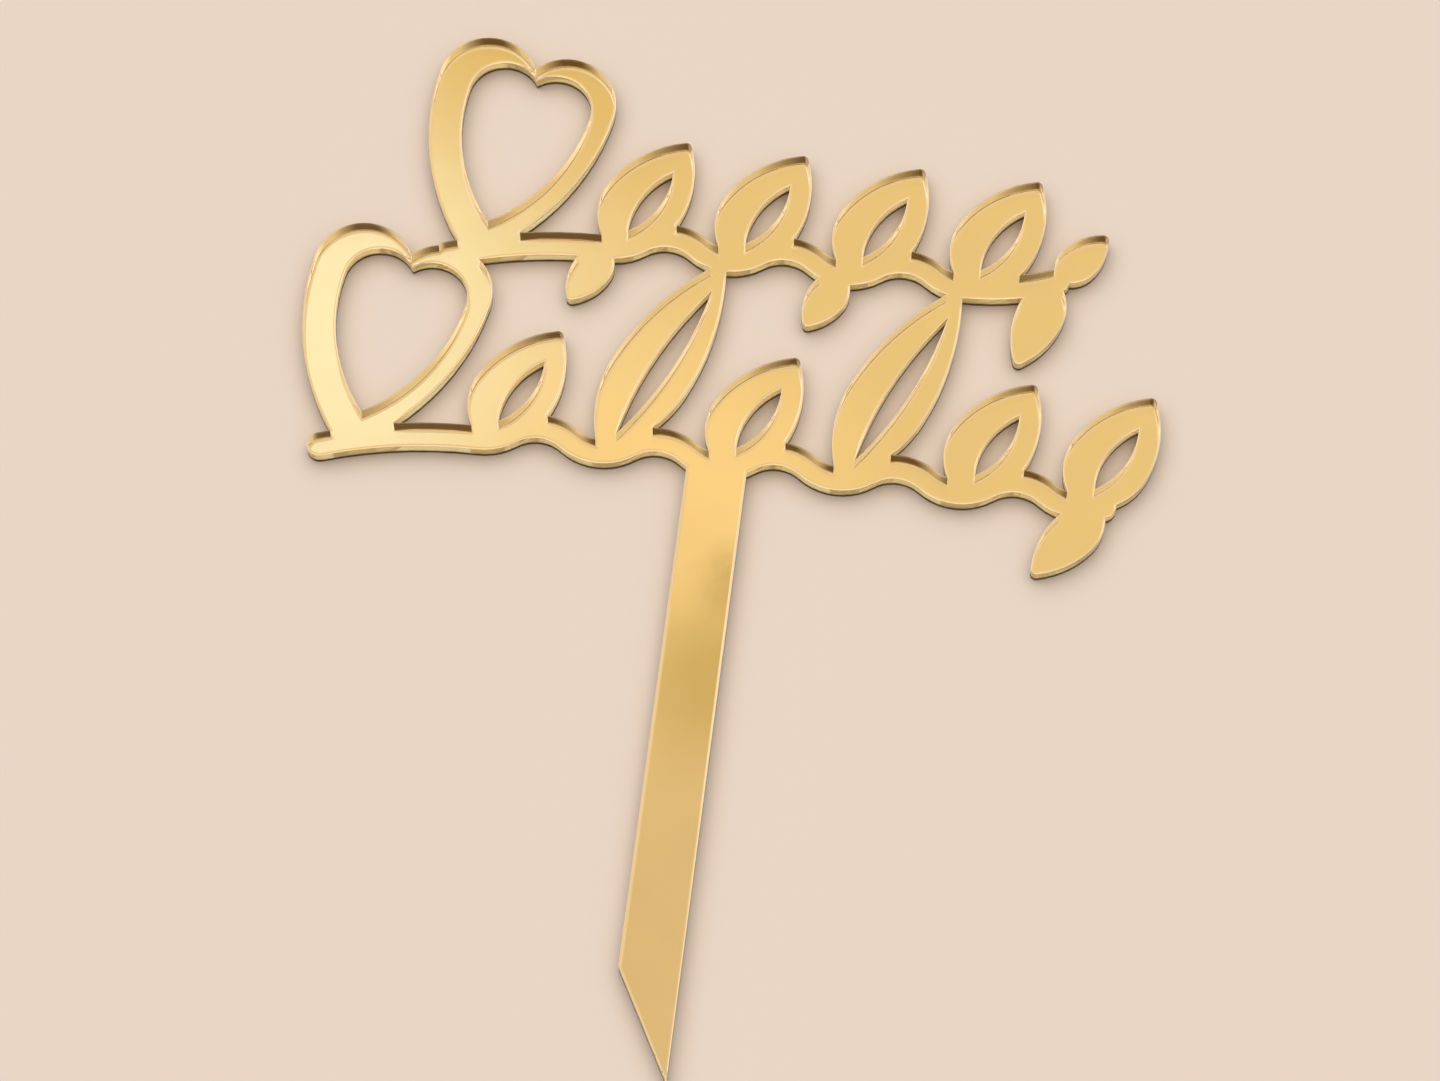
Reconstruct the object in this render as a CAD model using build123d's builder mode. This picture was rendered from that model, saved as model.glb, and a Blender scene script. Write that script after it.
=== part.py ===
from build123d import *
import os
from math import atan2, degrees, hypot, sqrt

os.makedirs("parts", exist_ok=True)

# A cake topper cut from one sheet of gold mirror acrylic. Two rows of ornament, each a vine of
# leaves that starts at a heart, stand on a stick that is pushed into the cake.
# Millimetres. X runs along the rows, Z is up and the front faces -Y. The origin is where the
# stick leaves the ornament, in the middle of the sheet's thickness.

# Layers of the sheet, front to back
acrylic_thickness = 2.85
film_thickness = 0.05
coat_thickness = 0.10

# Stick, with a slanted cut at its point
stick_width = 10.4
stick_length = 106.0
stick_cut = 19.0

# Rows: each vine waves along its row and has its leaves in the troughs, which are counted in
# pitches from the stick
lower_row = 4.2
row_spacing = 38.5
row_shift = 17.5
pitch = 20.6
lower_troughs = range(-2, 4)
upper_troughs = range(-2, 2)
vine_width = 4.4
vine_wave = 1.7

# Leaves, each with a vein slit off its middle, so that its left side is thick and its right
# side thin, as a broad pen draws them
leaf_angle = 62.0
leaf_length = 24.5
leaf_width = 14.4
tall_leaf_width = 14.4
leaf_belly = 0.4
leaf_tip_radius = 1.0
vein_width = 3.6
vein_shift = 0.9
vein_root_wall = 4.4
vein_tip_wall = 6.4

# Smaller leaves with no vein: drops, and the tails that hang from the vines' ends
drop_length = 12.5
drop_width = 7.0
end_drop_angle = 50.0
tail_length = 18.0
tail_width = 8.4
lower_tail_angle = -128.0
upper_tail_angle = -108.0

# Hearts, outlined with a thick left stroke and a thin right one, each with its point sunk in
# its vine
heart_width = 32.0
heart_height = 42.0
heart_lobe_overlap = 1.6
heart_stroke_thick = 6.0
heart_stroke_thin = 4.0
heart_point_wall = 7.6
heart_tilt = 10.0
heart_sink = 1.6

# Ends of the vines, measured from the first and last troughs, and how deep the upper vine
# starts in the lobe that it grows from
lower_lead = (-27.0, -4.5)
lower_curl = (4.6, 0.6)
upper_curl = (16.2, 3.2)
lobe_sink = 1.5

# Places of the hearts' points along the first curve of each vine, as shares of its length
lower_heart_place = 0.85
upper_heart_place = 0.86


def leaf_face(length, width):
    """A leaf along +X from its root at the origin, widest at leaf_belly of its length."""
    belly = (leaf_belly * length, width / 2)
    with BuildSketch() as leaf:
        with BuildLine():
            TangentArc(belly, (0, 0), tangent=(-1, 0))
            TangentArc(belly, (length, 0), tangent=(1, 0))
            mirror(about=Plane.XZ)
        make_face()
        fillet(leaf.vertices().sort_by(Axis.X)[-1], leaf_tip_radius)
    return leaf.sketch


def vein_face(length):
    """A slit along +X from the origin, pointed at both ends."""
    with BuildSketch() as vein:
        with BuildLine():
            ThreePointArc((0, 0), (length / 2, vein_width / 2), (length, 0))
            mirror(about=Plane.XZ)
        make_face()
    return vein.sketch


def veined_leaf(length, width):
    """A leaf with a vein slit."""
    with BuildSketch() as leaf:
        add(leaf_face(length, width))
        with Locations((vein_root_wall, -vein_shift)):
            add(vein_face(length - vein_root_wall - vein_tip_wall), mode=Mode.SUBTRACT)
    return leaf.sketch


def lobe_size(width):
    """Radius of the two lobes of a heart, which cross at its middle line."""
    return (width / 2 + heart_lobe_overlap) / 2


def heart_face(width, height):
    """An upright heart with its point at the origin."""
    lobe_radius = lobe_size(width)
    lobe_x = width / 2 - lobe_radius
    lobe_y = height - lobe_radius
    dip = (0, lobe_y + sqrt(lobe_radius**2 - lobe_x**2))
    with BuildSketch() as heart:
        with BuildLine():
            TangentArc((lobe_x, height), dip, tangent=(-1, 0))
            TangentArc((lobe_x, height), (width / 2, lobe_y), tangent=(1, 0))
            TangentArc((width / 2, lobe_y), (0, 0), tangent=(0, -1))
            mirror(about=Plane.YZ)
        make_face()
    return heart.sketch


def outlined_heart():
    """A heart with a heart-shaped gap."""
    gap_width = heart_width - heart_stroke_thick - heart_stroke_thin
    gap_height = heart_height - heart_point_wall - heart_stroke_thin
    with BuildSketch() as heart:
        add(heart_face(heart_width, heart_height))
        with Locations(((heart_stroke_thick - heart_stroke_thin) / 2, heart_point_wall)):
            add(heart_face(gap_width, gap_height), mode=Mode.SUBTRACT)
    return heart.sketch


def vine(start, troughs, end):
    """A line that waves along its row, and its first curve by itself."""
    with BuildLine() as line:
        first = TangentArc(troughs[0], start, tangent=(-1, 0))
        for trough in troughs[:-1]:
            quarter = trough + Vector(pitch / 4, vine_wave)
            crest = trough + Vector(pitch / 2, 2 * vine_wave)
            three_quarter = trough + Vector(3 * pitch / 4, vine_wave)
            TangentArc(trough, quarter, tangent=(1, 0))
            TangentArc(crest, quarter, tangent=(-1, 0))
            TangentArc(crest, three_quarter, tangent=(1, 0))
            TangentArc(trough + Vector(pitch, 0), three_quarter, tangent=(-1, 0))
        TangentArc(troughs[-1], end, tangent=(1, 0))
    return line.wire(), first


# The lower vine passes the stick at its third trough and carries the lower heart
lower_roots = [Vector(k * pitch, lower_row) for k in lower_troughs]
lower_start = lower_roots[0] + Vector(lower_lead)
lower_end = lower_roots[-1] + Vector(lower_curl)
lower_vine, lower_first = vine(lower_start, lower_roots, lower_end)
lower_point = lower_first @ lower_heart_place - Vector(0, heart_sink)

# The upper vine grows from the lower heart's right lobe and carries the upper heart
lobe_radius = lobe_size(heart_width)
lobe_centre = Vector(heart_width / 2 - lobe_radius, heart_height - lobe_radius)
lobe_top = lower_point + lobe_centre.rotate(Axis.Z, -heart_tilt) + Vector(0, lobe_radius)
upper_start = lobe_top - Vector(0, lobe_sink)
upper_roots = [Vector(k * pitch + row_shift, lower_row + row_spacing) for k in upper_troughs]
upper_end = upper_roots[-1] + Vector(upper_curl)
upper_vine, upper_first = vine(upper_start, upper_roots, upper_end)
upper_point = upper_first @ upper_heart_place - Vector(0, heart_sink)

# Tall leaves reach from a trough of the lower vine to one of the upper vine and tie the rows,
# and every other trough has a common leaf. Drops hang under every other trough of the upper vine.
tall_roots = lower_roots[1:-1:2]
leaf_roots = upper_roots + lower_roots[::2] + lower_roots[-1:]
drop_roots = upper_roots[::2]
leaf = veined_leaf(leaf_length, leaf_width)
tall_leaf = veined_leaf(hypot(row_shift, row_spacing), tall_leaf_width)
tall_angle = degrees(atan2(row_spacing, row_shift))
tail = leaf_face(tail_length, tail_width)
drop = leaf_face(drop_length, drop_width)
heart = outlined_heart()

with BuildSketch() as outline:
    with Locations(*leaf_roots):
        add(leaf, rotation=leaf_angle)
    with Locations(*tall_roots):
        add(tall_leaf, rotation=tall_angle)
    with Locations(*drop_roots):
        add(drop, rotation=leaf_angle - 180)
    with Locations(upper_end):
        add(drop, rotation=end_drop_angle)
        add(tail, rotation=upper_tail_angle)
    with Locations(lower_end):
        add(tail, rotation=lower_tail_angle)
    with Locations(lower_point, upper_point):
        add(heart, rotation=-heart_tilt)
    SlotArc(lower_vine, vine_width)
    SlotArc(upper_vine, vine_width)
    with BuildLine():
        Polyline(
            (-stick_width / 2, lower_row),
            (-stick_width / 2, stick_cut - stick_length),
            (stick_width / 2, -stick_length),
            (stick_width / 2, lower_row),
            close=True,
        )
    make_face()

# The three layers share the outline and lie face to face
sheet_thickness = acrylic_thickness + film_thickness + coat_thickness
coat_back = sheet_thickness / 2
film_back = coat_back - coat_thickness
acrylic_back = film_back - film_thickness

with BuildPart() as acrylic_sheet:
    with BuildSketch(Plane.XZ.offset(-acrylic_back)):
        add(outline.sketch_local)
    extrude(amount=acrylic_thickness)
acrylic_sheet.part.label = "acrylic_sheet"
export_step(acrylic_sheet.part, "parts/acrylic_sheet.step")

with BuildPart() as mirror_film:
    with BuildSketch(Plane.XZ.offset(-film_back)):
        add(outline.sketch_local)
    extrude(amount=film_thickness)
mirror_film.part.label = "mirror_film"
export_step(mirror_film.part, "parts/mirror_film.step")

with BuildPart() as backing_coat:
    with BuildSketch(Plane.XZ.offset(-coat_back)):
        add(outline.sketch_local)
    extrude(amount=coat_thickness)
backing_coat.part.label = "backing_coat"
export_step(backing_coat.part, "parts/backing_coat.step")
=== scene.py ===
from collections import namedtuple
from math import cos, pi, radians, sin

import bmesh
import bpy
from mathutils import Matrix, Vector


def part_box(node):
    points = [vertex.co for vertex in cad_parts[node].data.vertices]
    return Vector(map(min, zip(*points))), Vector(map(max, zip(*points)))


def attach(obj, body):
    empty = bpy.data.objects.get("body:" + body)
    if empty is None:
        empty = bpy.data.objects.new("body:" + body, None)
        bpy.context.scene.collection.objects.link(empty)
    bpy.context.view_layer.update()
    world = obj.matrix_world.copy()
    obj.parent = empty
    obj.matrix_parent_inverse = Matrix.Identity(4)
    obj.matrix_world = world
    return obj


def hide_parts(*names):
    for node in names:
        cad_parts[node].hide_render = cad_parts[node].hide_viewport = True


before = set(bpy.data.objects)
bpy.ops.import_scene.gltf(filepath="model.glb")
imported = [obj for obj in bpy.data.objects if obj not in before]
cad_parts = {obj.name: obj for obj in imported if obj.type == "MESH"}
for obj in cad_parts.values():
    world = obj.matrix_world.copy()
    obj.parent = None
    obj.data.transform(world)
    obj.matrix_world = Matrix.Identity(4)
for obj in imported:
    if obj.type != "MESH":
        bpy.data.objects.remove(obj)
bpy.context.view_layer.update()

# Metres, in the CAD's frame: X along the rows, Z up, the front faces -Y. Colours are linear.
MM = 0.001
FRONT = Vector((0, -1, 0))

# How the outline is read from the CAD sheet: how flat its front is, and the digits of a place in mm
FLAT_TOLERANCE = 0.001 * MM
PLACE_DIGITS = 4

# Shoulder that the laser melts along the front edge of the cut
SHOULDER_WIDTH = 0.42 * MM
SHOULDER_DEPTH = 0.20 * MM
SHOULDER_STEPS = 4
MITRE_LIMIT = 1.5
SHARP_ANGLE = radians(28)

# Room between the plate's mirrored back and the film's own solid, so that the two don't coincide
FILM_CLEARANCE = 0.004 * MM

# The plate's material slots, front to back
FACE_SLOT = 0
SHOULDER_SLOT = 1
EDGE_SLOT = 2
BACK_SLOT = 3

# The plate's acrylic, and its polished face: smears, the slow wave of cast sheet, and wiping marks
ACRYLIC_IOR = 1.49
ACRYLIC_TINT = (0.98, 0.649, 0.240, 1.0)
ACRYLIC_SHEEN = (1.0, 0.75, 0.3, 1.0)
FACE_ROUGHNESS = (0.004, 0.03)
SMEAR_SIZE = 18 * MM
SMEAR_RANGE = (0.45, 0.75)
WAVE_SIZE = 45 * MM
WAVE_RISE = 0.05 * MM
HAIRLINE_WIDTH = 0.12 * MM
HAIRLINE_STRETCH = (1, 1, 60)
HAIRLINE_RANGE = (0.70, 0.78)
HAIRLINE_RISE = 0.0002 * MM

# The melted shoulder. Its tint, paler than the face's, is a painted highlight along the edge.
SHOULDER_HIGHLIGHT_TINT = (0.98, 0.71, 0.43, 1.0)
SHOULDER_ROUGHNESS = (0.01, 0.04)
MELT_SIZE = 0.8 * MM
MELT_RANGE = (0.3, 0.7)
MELT_RISE = 0.0008 * MM

# The cut edge: how clear it is from outside and how it shines where it is clean, its ridges, and the
# depths between which it turns to a dark band, neither clear nor shiny: partly scorch, partly painted
# shade at its base
EDGE_TINT = (0.98, 0.74, 0.31, 1.0)
EDGE_CLEARNESS = 0.48
EDGE_SHINE = 0.5
EDGE_ROUGHNESS = (0.015, 0.05)
PATCH_SIZE = 4 * MM
PATCH_STRETCH = (1, 3, 1)
PATCH_RANGE = (0.35, 0.7)
RIDGE_WIDTH = 0.25 * MM
RIDGE_STRETCH = (1, 40, 1)
RIDGE_RISE = 0.001 * MM
# The dark band's colour and reach: partly scorch, partly painted contact shade where the wall meets the
# board
SCORCH_AND_SHADE_TINT = (0.14, 0.065, 0.008, 1.0)
SCORCH_AND_SHADE_DEPTHS = (0.45 * MM, 1.00 * MM)
SCORCH_AND_SHADE_WAVE_SIZE = 2 * MM
SCORCH_AND_SHADE_WAVE = 0.4 * MM

# The metal film
FILM_BRIGHT = (0.96, 0.95, 0.93, 1.0)
FILM_DULL = (0.90, 0.89, 0.87, 1.0)
FILM_ROUGHNESS = (0.02, 0.05)
FILM_CLOUD_SIZE = 9 * MM
FILM_CLOUD_RANGE = (0.4, 0.8)
FILM_RIPPLE_SIZE = 6 * MM
FILM_RIPPLE_RISE = 0.0015 * MM

# The lacquer on the back: clouds, marks of handling, scuffs, and a sprayed skin
LACQUER_DARK = (0.108, 0.108, 0.105, 1.0)
LACQUER_LIGHT = (0.165, 0.165, 0.160, 1.0)
LACQUER_ROUGHNESS = (0.38, 0.58)
LACQUER_CLOUD_SIZE = 14 * MM
LACQUER_CLOUD_RANGE = (0.35, 0.65)
HANDLING_SIZE = 11 * MM
HANDLING_RANGE = (0.3, 0.7)
SCUFF_COLOUR = (0.26, 0.26, 0.25, 1.0)
SCUFF_WIDTH = 0.25 * MM
SCUFF_STRETCH = (50, 1, 1)
SCUFF_RANGE = (0.66, 0.78)
SCUFF_STRENGTH = 0.6
SCUFF_RISE = 0.004 * MM
SKIN_SIZE = 0.5 * MM
SKIN_RISE = 0.012 * MM

# The surface that the topper lies on
BOARD_COLOUR = (0.807, 0.672, 0.571, 1.0)
BOARD_ROUGHNESS = 0.9
BOARD_HALF_SIZE = 3.0
BOARD_GAP = 0.20 * MM

# Camera, placed by its distance, its tilt from the square view and its roll
CAMERA_TARGET_X = 2.2 * MM
CAMERA_TARGET_Z = -9.7 * MM
CAMERA_DISTANCE = 1.0
CAMERA_TILT = radians(22.0)
CAMERA_ROLL = radians(7.05)
CAMERA_LENS_MM = 146.75
CAMERA_SENSOR_MM = 36.0

# Light goes a long way between the film and the front before it leaves by an edge
EDGE_BOUNCES = 40

# The room that the mirror shows: its light at the sides, low down and high up, and the heights and the
# depths, on a unit sphere, between which it changes
ROOM_SIDE = (0.20, 0.20, 0.20, 1.0)
ROOM_LOW = (0.80, 0.79, 0.77, 1.0)
ROOM_HIGH = (0.907, 0.905, 0.865, 1.0)
ROOM_LOW_HIGH = (-0.5, 0.4)
ROOM_SIDE_END = (0.05, 0.65)

# Soft cards in that room: an azimuth and an elevation in degrees, how far each reaches along the axes on
# the unit sphere, and its light. A card fades from its core, a share of its reach, to the end of its
# reach, and later cards lie over earlier ones.
Card = namedtuple("Card", "azimuth elevation reach light")
CARD_CORE = 0.3
CARDS = (
    # A dark one low in front, which the cut's far walls show, and bright ones left, right and overhead
    Card(-3.0, -22.0, reach=(0.62, 0.6, 0.36), light=(0.13, 0.08, 0.03)),
    Card(-34.0, 25.0, reach=(0.28, 0.5, 0.36), light=(1.7, 1.7, 1.7)),
    Card(30.0, 25.0, reach=(0.28, 0.5, 0.36), light=(1.5, 1.5, 1.5)),
    Card(-3.0, 50.0, reach=(0.50, 0.5, 0.26), light=(1.5, 1.5, 1.5)),
    # What the face shows when it is seen from its right
    Card(-50.5, -21.0, reach=(0.10, 0.4, 0.10), light=(1.25, 1.24, 1.20)),
    Card(-42.0, -30.0, reach=(0.10, 0.4, 0.08), light=(0.45, 0.43, 0.40)),
    # What the face shows in the main view: a bright patch at the left heart, one at the root of the
    # stick, a dimmer one at the upper heart, and those along the stick
    Card(-8.0, 23.25, reach=(0.075, 0.5, 0.052), light=(1.12, 1.38, 2.00)),
    Card(-3.3, 22.2, reach=(0.042, 0.5, 0.034), light=(1.08, 1.05, 1.0)),
    Card(-5.3, 26.85, reach=(0.040, 0.5, 0.035), light=(0.85, 0.80, 0.63)),
    Card(-2.9, 17.75, reach=(0.080, 0.5, 0.062), light=(0.795, 0.79, 0.83)),
    Card(-2.7, 20.45, reach=(0.018, 0.5, 0.016), light=(0.70, 0.67, 0.52)),
    Card(-2.73, 21.43, reach=(0.005, 0.5, 0.008), light=(0.68, 0.64, 0.52)),
)

# Colour sockets of a Mix node, which has a set of sockets for each type of data
MIX_LOW = 6
MIX_HIGH = 7
MIX_RESULT = 2


def flat_outlines(mesh, y):
    """Closed outlines of a mesh's flat face at depth y, as (x, z) points with the face on their left."""
    def place(index):
        x, _, z = mesh.vertices[index].co
        return round(x / MM, PLACE_DIGITS), round(z / MM, PLACE_DIGITS)

    edges = set()
    for polygon in mesh.polygons:
        if all(abs(mesh.vertices[i].co.y - y) < FLAT_TOLERANCE for i in polygon.vertices):
            points = [place(i) for i in polygon.vertices]
            edges.update(zip(points, points[1:] + points[:1]))
    following = {a: b for a, b in edges if (b, a) not in edges}
    outlines = []
    while following:
        point, after = following.popitem()
        outline = [point]
        while after != outline[0]:
            outline.append(after)
            after = following.pop(after)
        outlines.append([Vector(p) * MM for p in outline])
    return sorted(outlines, key=len, reverse=True)


def left_of(a, b):
    """The unit vector to the left of the way from a to b."""
    way = (b - a).normalized()
    return Vector((-way.y, way.x))


def inset_outline(outline, width):
    """The outline moved to its left by width, point for point."""
    moved = []
    for i, point in enumerate(outline):
        before = left_of(outline[i - 1], point)
        after = left_of(point, outline[(i + 1) % len(outline)])
        middle = (before + after).normalized()
        reach = width / middle.dot(after)
        if before.cross(after) < 0:
            reach = min(reach, MITRE_LIMIT * width)
        moved.append(point + middle * reach)
    return moved


def ring_edges(mesh, ring):
    """The edges along a closed ring of vertices."""
    return [mesh.edges.get((ring[i - 1], vertex)) for i, vertex in enumerate(ring)]


def mirrored_plate(outlines, front, back):
    """The acrylic plate: a flat front, a melted shoulder round it, cut walls and a flat back."""
    plate = bmesh.new()
    front_edges = []
    wall_edges = []
    back_edges = []
    for outline in outlines:
        inner = inset_outline(outline, SHOULDER_WIDTH)
        rings = [[plate.verts.new((p.x, back, p.y)) for p in outline]]
        for k in range(SHOULDER_STEPS + 1):
            turn = pi / 2 * k / SHOULDER_STEPS
            depth = front + SHOULDER_DEPTH * (1 - sin(turn))
            points = [p.lerp(q, 1 - cos(turn)) for p, q in zip(outline, inner)]
            rings.append([plate.verts.new((p.x, depth, p.y)) for p in points])
        for level, (lower, upper) in enumerate(zip(rings, rings[1:])):
            for i, vertex in enumerate(lower):
                side = plate.faces.new((vertex, lower[i - 1], upper[i - 1], upper[i]))
                side.material_index = EDGE_SLOT if level == 0 else SHOULDER_SLOT
        back_edges += ring_edges(plate, rings[0])
        wall_edges += ring_edges(plate, rings[1])
        front_edges += ring_edges(plate, rings[-1])
    for edges, slot in ((front_edges, FACE_SLOT), (back_edges, BACK_SLOT)):
        filled = bmesh.ops.triangle_fill(plate, edges=edges, use_beauty=True, normal=FRONT)
        for item in filled["geom"]:
            if isinstance(item, bmesh.types.BMFace):
                item.material_index = slot
    bmesh.ops.recalc_face_normals(plate, faces=plate.faces)
    for face in plate.faces:
        face.smooth = True
    for edge in plate.edges:
        edge.smooth = edge.calc_face_angle(0) < SHARP_ANGLE
    for edge in front_edges + wall_edges + back_edges:
        edge.smooth = False
    mesh = bpy.data.meshes.new("gold_acrylic")
    plate.to_mesh(mesh)
    plate.free()
    return mesh


class Nodes:
    """Short ways to add nodes to one material or to the world."""

    def __init__(self, tree):
        self.tree = tree

    def add(self, kind, settings=(), inputs=()):
        """A node with these settings, and a value or a link for each of these inputs."""
        node = self.tree.nodes.new("ShaderNode" + kind)
        for name, value in dict(settings).items():
            setattr(node, name, value)
        for name, value in dict(inputs).items():
            self.put(node.inputs[name], value)
        return node

    def put(self, socket, value):
        """Link a socket to an input, or set the input's value."""
        if isinstance(value, bpy.types.NodeSocket):
            self.tree.links.new(value, socket)
        else:
            socket.default_value = value

    def maths(self, operation, *values):
        """The result of an operation on numbers."""
        return self.add("Math", {"operation": operation}, enumerate(values)).outputs[0]

    def vector_maths(self, operation, *values):
        """The outputs of an operation on vectors."""
        return self.add("VectorMath", {"operation": operation}, enumerate(values)).outputs

    def noise(self, size, stretch=(1, 1, 1), detail=3.0):
        """Noise from 0 to 1 with spots of about this size in metres, longer along stretched axes."""
        place = self.add("TexCoord").outputs["Object"]
        scale = [1 / (size * s) for s in stretch]
        shrunk = self.vector_maths("MULTIPLY", place, scale)["Vector"]
        return self.add("TexNoise", inputs={"Vector": shrunk, "Scale": 1.0, "Detail": detail}).outputs[0]

    def spread(self, value, old, new=(0.0, 1.0)):
        """A value brought from one range to another, held at its ends."""
        limits = {"From Min": old[0], "From Max": old[1], "To Min": new[0], "To Max": new[1]}
        return self.add("MapRange", inputs={"Value": value, **limits}).outputs[0]

    def blend(self, factor, low, high):
        """A colour between two others."""
        inputs = {"Factor": factor, MIX_LOW: low, MIX_HIGH: high}
        return self.add("Mix", {"data_type": "RGBA"}, inputs).outputs[MIX_RESULT]

    def bump(self, height, rise, normal=None):
        """Normals for a height from 0 to 1 that rises this far, in metres."""
        node = self.add("Bump", inputs={"Height": height, "Distance": rise, "Strength": 1.0})
        if normal:
            self.put(node.inputs["Normal"], normal)
        return node.outputs[0]


def surface(name, values):
    """A new material with these values on its shader, and the means to add nodes to it."""
    material = bpy.data.materials.new(name)
    material.use_nodes = True
    nodes = Nodes(material.node_tree)
    shader = material.node_tree.nodes["Principled BSDF"]
    for socket, value in values.items():
        shader.inputs[socket].default_value = value
    return material, nodes, shader.inputs


def polished_face():
    """Clear gold acrylic, cast smooth, with a slow wave and hairline wiping marks."""
    material, nodes, shader = surface("polished_face", {
        "Base Color": ACRYLIC_TINT,
        "Specular Tint": ACRYLIC_SHEEN,
        "Transmission Weight": 1.0,
        "IOR": ACRYLIC_IOR,
    })
    smear = nodes.noise(SMEAR_SIZE, detail=4.0)
    nodes.put(shader["Roughness"], nodes.spread(smear, SMEAR_RANGE, FACE_ROUGHNESS))
    wave = nodes.noise(WAVE_SIZE, detail=1.0)
    wiping = nodes.noise(HAIRLINE_WIDTH, HAIRLINE_STRETCH, detail=1.0)
    hairline = nodes.spread(wiping, HAIRLINE_RANGE)
    slow = nodes.bump(wave, WAVE_RISE)
    nodes.put(shader["Normal"], nodes.bump(hairline, HAIRLINE_RISE, slow))
    return material


def melted_shoulder():
    """The shoulder: melted smooth, tinted paler than the face as a painted highlight, with a faint ripple
    along the cut.
    """
    material, nodes, shader = surface("melted_shoulder", {
        # A tint paler than the face's: painted highlight along the edge
        "Base Color": SHOULDER_HIGHLIGHT_TINT,
        "Transmission Weight": 1.0,
        "IOR": ACRYLIC_IOR,
    })
    ripple = nodes.noise(MELT_SIZE, detail=1.0)
    nodes.put(shader["Roughness"], nodes.spread(ripple, MELT_RANGE, SHOULDER_ROUGHNESS))
    nodes.put(shader["Normal"], nodes.bump(ripple, MELT_RISE))
    return material


def cut_edge():
    """The laser's cut: glossy, with fine ridges across the sheet, a haze on its outside and a dark, dull
    line along the film that is partly scorch and partly painted shade where the wall meets the board."""
    material, nodes, shader = surface("cut_edge", {"Transmission Weight": 1.0, "IOR": ACRYLIC_IOR})
    place = nodes.add("TexCoord").outputs["Object"]
    depth = nodes.add("SeparateXYZ", inputs={0: place}).outputs["Y"]
    uneven = nodes.maths("MULTIPLY_ADD", nodes.noise(SCORCH_AND_SHADE_WAVE_SIZE), SCORCH_AND_SHADE_WAVE, depth)
    scorch_and_shade = nodes.spread(uneven, SCORCH_AND_SHADE_DEPTHS)
    # Dark band at the base of the wall: partly scorch, partly painted contact shade
    nodes.put(shader["Base Color"], nodes.blend(scorch_and_shade, EDGE_TINT, SCORCH_AND_SHADE_TINT))
    clear = nodes.spread(scorch_and_shade, (0.0, 1.0), (EDGE_CLEARNESS, 0.0))
    inside = nodes.add("NewGeometry").outputs["Backfacing"]
    nodes.put(shader["Transmission Weight"], nodes.maths("MAXIMUM", clear, inside))
    nodes.put(shader["Specular IOR Level"], nodes.spread(scorch_and_shade, (0.0, 1.0), (EDGE_SHINE, 0.0)))
    ridges = nodes.noise(RIDGE_WIDTH, RIDGE_STRETCH, detail=0.0)
    patches = nodes.noise(PATCH_SIZE, PATCH_STRETCH)
    nodes.put(shader["Roughness"], nodes.spread(patches, PATCH_RANGE, EDGE_ROUGHNESS))
    nodes.put(shader["Normal"], nodes.bump(ridges, RIDGE_RISE))
    return material


def mirror_metal():
    """The metal film, bright, with a faint ripple and clouding."""
    material, nodes, shader = surface("mirror_metal", {"Metallic": 1.0})
    clouds = nodes.noise(FILM_CLOUD_SIZE)
    nodes.put(shader["Base Color"], nodes.blend(clouds, FILM_BRIGHT, FILM_DULL))
    nodes.put(shader["Roughness"], nodes.spread(clouds, FILM_CLOUD_RANGE, FILM_ROUGHNESS))
    ripple = nodes.noise(FILM_RIPPLE_SIZE, detail=2.0)
    nodes.put(shader["Normal"], nodes.bump(ripple, FILM_RIPPLE_RISE))
    return material


def lacquer():
    """The protective paint on the back: satin grey with a sprayed skin, handling marks and scuffs."""
    material, nodes, shader = surface("lacquer", {})
    clouds = nodes.noise(LACQUER_CLOUD_SIZE, detail=5.0)
    paint = nodes.blend(nodes.spread(clouds, LACQUER_CLOUD_RANGE), LACQUER_DARK, LACQUER_LIGHT)
    scuffs = nodes.noise(SCUFF_WIDTH, SCUFF_STRETCH, detail=2.0)
    worn = nodes.spread(scuffs, SCUFF_RANGE, (0.0, SCUFF_STRENGTH))
    nodes.put(shader["Base Color"], nodes.blend(worn, paint, SCUFF_COLOUR))
    handling = nodes.noise(HANDLING_SIZE, detail=4.0)
    nodes.put(shader["Roughness"], nodes.spread(handling, HANDLING_RANGE, LACQUER_ROUGHNESS))
    skin = nodes.noise(SKIN_SIZE, detail=2.0)
    peel = nodes.bump(skin, SKIN_RISE)
    nodes.put(shader["Normal"], nodes.bump(worn, SCUFF_RISE, peel))
    return material


def board_paper():
    """A plain pale surface that is seen only from its front, so that it never hides the back."""
    material, nodes, _ = surface("board_paper", {
        "Base Color": BOARD_COLOUR,
        "Roughness": BOARD_ROUGHNESS,
        "Specular IOR Level": 0.0,
    })
    tree = material.node_tree
    paper = tree.nodes["Principled BSDF"].outputs[0]
    behind = nodes.add("NewGeometry").outputs["Backfacing"]
    clear = nodes.add("BsdfTransparent").outputs[0]
    one_sided = nodes.add("MixShader", inputs={0: behind, 1: paper, 2: clear}).outputs[0]
    nodes.put(tree.nodes["Material Output"].inputs["Surface"], one_sided)
    return material


def heading(azimuth, elevation):
    """The unit vector towards an azimuth, counted from the front to the right, and an elevation."""
    a = radians(azimuth)
    e = radians(elevation)
    return Vector((sin(a) * cos(e), -cos(a) * cos(e), sin(e)))


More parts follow.
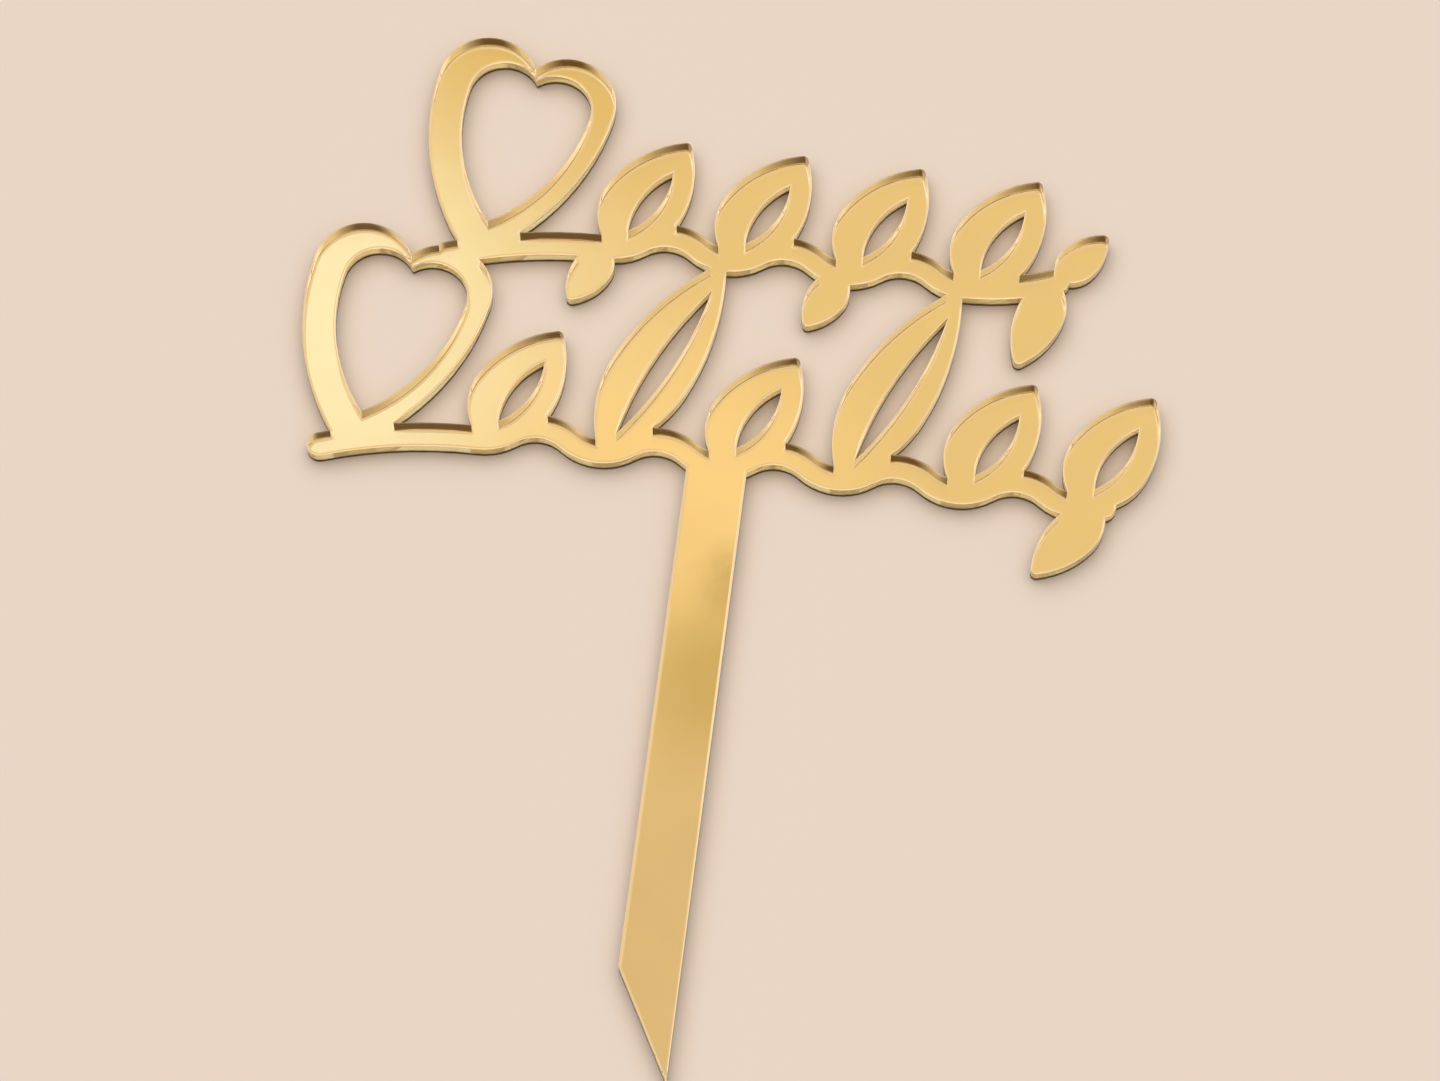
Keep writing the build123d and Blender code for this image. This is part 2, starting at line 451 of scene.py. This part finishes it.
def studio(nodes):
    """The room: pale, darker low down, with soft cards in front. Its sides give little light, but gloss
    and glass see the board's colour there, and the camera sees it all round past the board's end."""
    direction = nodes.add("TexCoord").outputs["Generated"]
    split = nodes.add("SeparateXYZ", inputs={0: direction}).outputs
    room = nodes.blend(nodes.spread(split["Z"], ROOM_LOW_HIGH), ROOM_LOW, ROOM_HIGH)
    ray = nodes.add("LightPath").outputs
    mirrored = nodes.maths("MAXIMUM", ray["Is Glossy Ray"], ray["Is Transmission Ray"])
    side = nodes.blend(mirrored, ROOM_SIDE, BOARD_COLOUR)
    depth = nodes.maths("ABSOLUTE", split["Y"])
    room = nodes.blend(nodes.spread(depth, ROOM_SIDE_END), side, room)
    for card in CARDS:
        middle = heading(card.azimuth, card.elevation)
        offset = nodes.vector_maths("SUBTRACT", direction, middle)["Vector"]
        shares = nodes.vector_maths("DIVIDE", offset, card.reach)["Vector"]
        away = nodes.vector_maths("LENGTH", shares)["Value"]
        amount = nodes.spread(away, (CARD_CORE, 1.0), (1.0, 0.0))
        room = nodes.blend(amount, room, (*card.light, 1.0))
    return nodes.blend(ray["Is Camera Ray"], room, BOARD_COLOUR)


def sun(name, azimuth, elevation, strength, angle):
    """A soft lamp that isn't seen in the mirror."""
    lamp = bpy.data.lights.new(name, "SUN")
    lamp.energy = strength
    lamp.angle = radians(angle)
    placed = bpy.data.objects.new(name, lamp)
    placed.rotation_euler = heading(azimuth, elevation).to_track_quat("Z", "Y").to_euler()
    placed.visible_glossy = False
    placed.visible_transmission = False
    bpy.context.scene.collection.objects.link(placed)


# The film and the lacquer keep their CAD shapes and get their materials
metal = mirror_metal()
for node, material in (("mirror_film", metal), ("backing_coat", lacquer())):
    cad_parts[node].data.materials.clear()
    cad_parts[node].data.materials.append(material)

# The plate, with its shoulder. Its materials are in the order of its slots.
plate_low, plate_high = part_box("acrylic_sheet")
outlines = flat_outlines(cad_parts["acrylic_sheet"].data, plate_low.y)
plate_mesh = mirrored_plate(outlines, plate_low.y, plate_high.y - FILM_CLEARANCE)
for material in (polished_face(), melted_shoulder(), cut_edge(), metal):
    plate_mesh.materials.append(material)
plate = bpy.data.objects.new("gold_acrylic", plate_mesh)
bpy.context.scene.collection.objects.link(plate)
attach(plate, "root")
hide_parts("acrylic_sheet")

# The board behind it. It takes the topper's shadow and shows through the cut, but diffuse and shadow rays
# pass it, so that it neither lights the topper nor shades it.
coat_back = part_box("backing_coat")[1].y
board_mesh = bpy.data.meshes.new("board")
half = BOARD_HALF_SIZE
corners = [(-half, 0, -half), (half, 0, -half), (half, 0, half), (-half, 0, half)]
board_mesh.from_pydata(corners, [], [(0, 1, 2, 3)])
board_mesh.materials.append(board_paper())
board = bpy.data.objects.new("board", board_mesh)
board.location.y = coat_back + BOARD_GAP
board.visible_diffuse = False
board.visible_shadow = False
bpy.context.scene.collection.objects.link(board)

# Light
world = bpy.data.worlds.new("studio")
world.use_nodes = True
bpy.context.scene.world = world
room = studio(Nodes(world.node_tree))
world.node_tree.links.new(room, world.node_tree.nodes["Background"].inputs["Color"])
sun("key", azimuth=-14, elevation=10, strength=0.76, angle=90)
sun("back_fill", azimuth=150, elevation=35, strength=1.0, angle=30)
bpy.context.scene.cycles.max_bounces = EDGE_BOUNCES
bpy.context.scene.cycles.glossy_bounces = EDGE_BOUNCES
bpy.context.scene.cycles.transmission_bounces = EDGE_BOUNCES

# Camera
roll_up = Vector((-sin(CAMERA_ROLL), 0, cos(CAMERA_ROLL)))
to_camera = FRONT * cos(CAMERA_TILT) - roll_up * sin(CAMERA_TILT)
target = Vector((CAMERA_TARGET_X, plate_low.y, CAMERA_TARGET_Z))
camera = bpy.data.objects.new("camera", bpy.data.cameras.new("camera"))
camera.data.sensor_width = CAMERA_SENSOR_MM
camera.data.lens = CAMERA_LENS_MM
right = roll_up.cross(to_camera).normalized()
turn = Matrix((right, to_camera.cross(right), to_camera)).transposed().to_4x4()
camera.matrix_world = Matrix.Translation(target + to_camera * CAMERA_DISTANCE) @ turn
bpy.context.scene.collection.objects.link(camera)
bpy.context.scene.camera = camera
bpy.context.scene.view_settings.view_transform = "Standard"
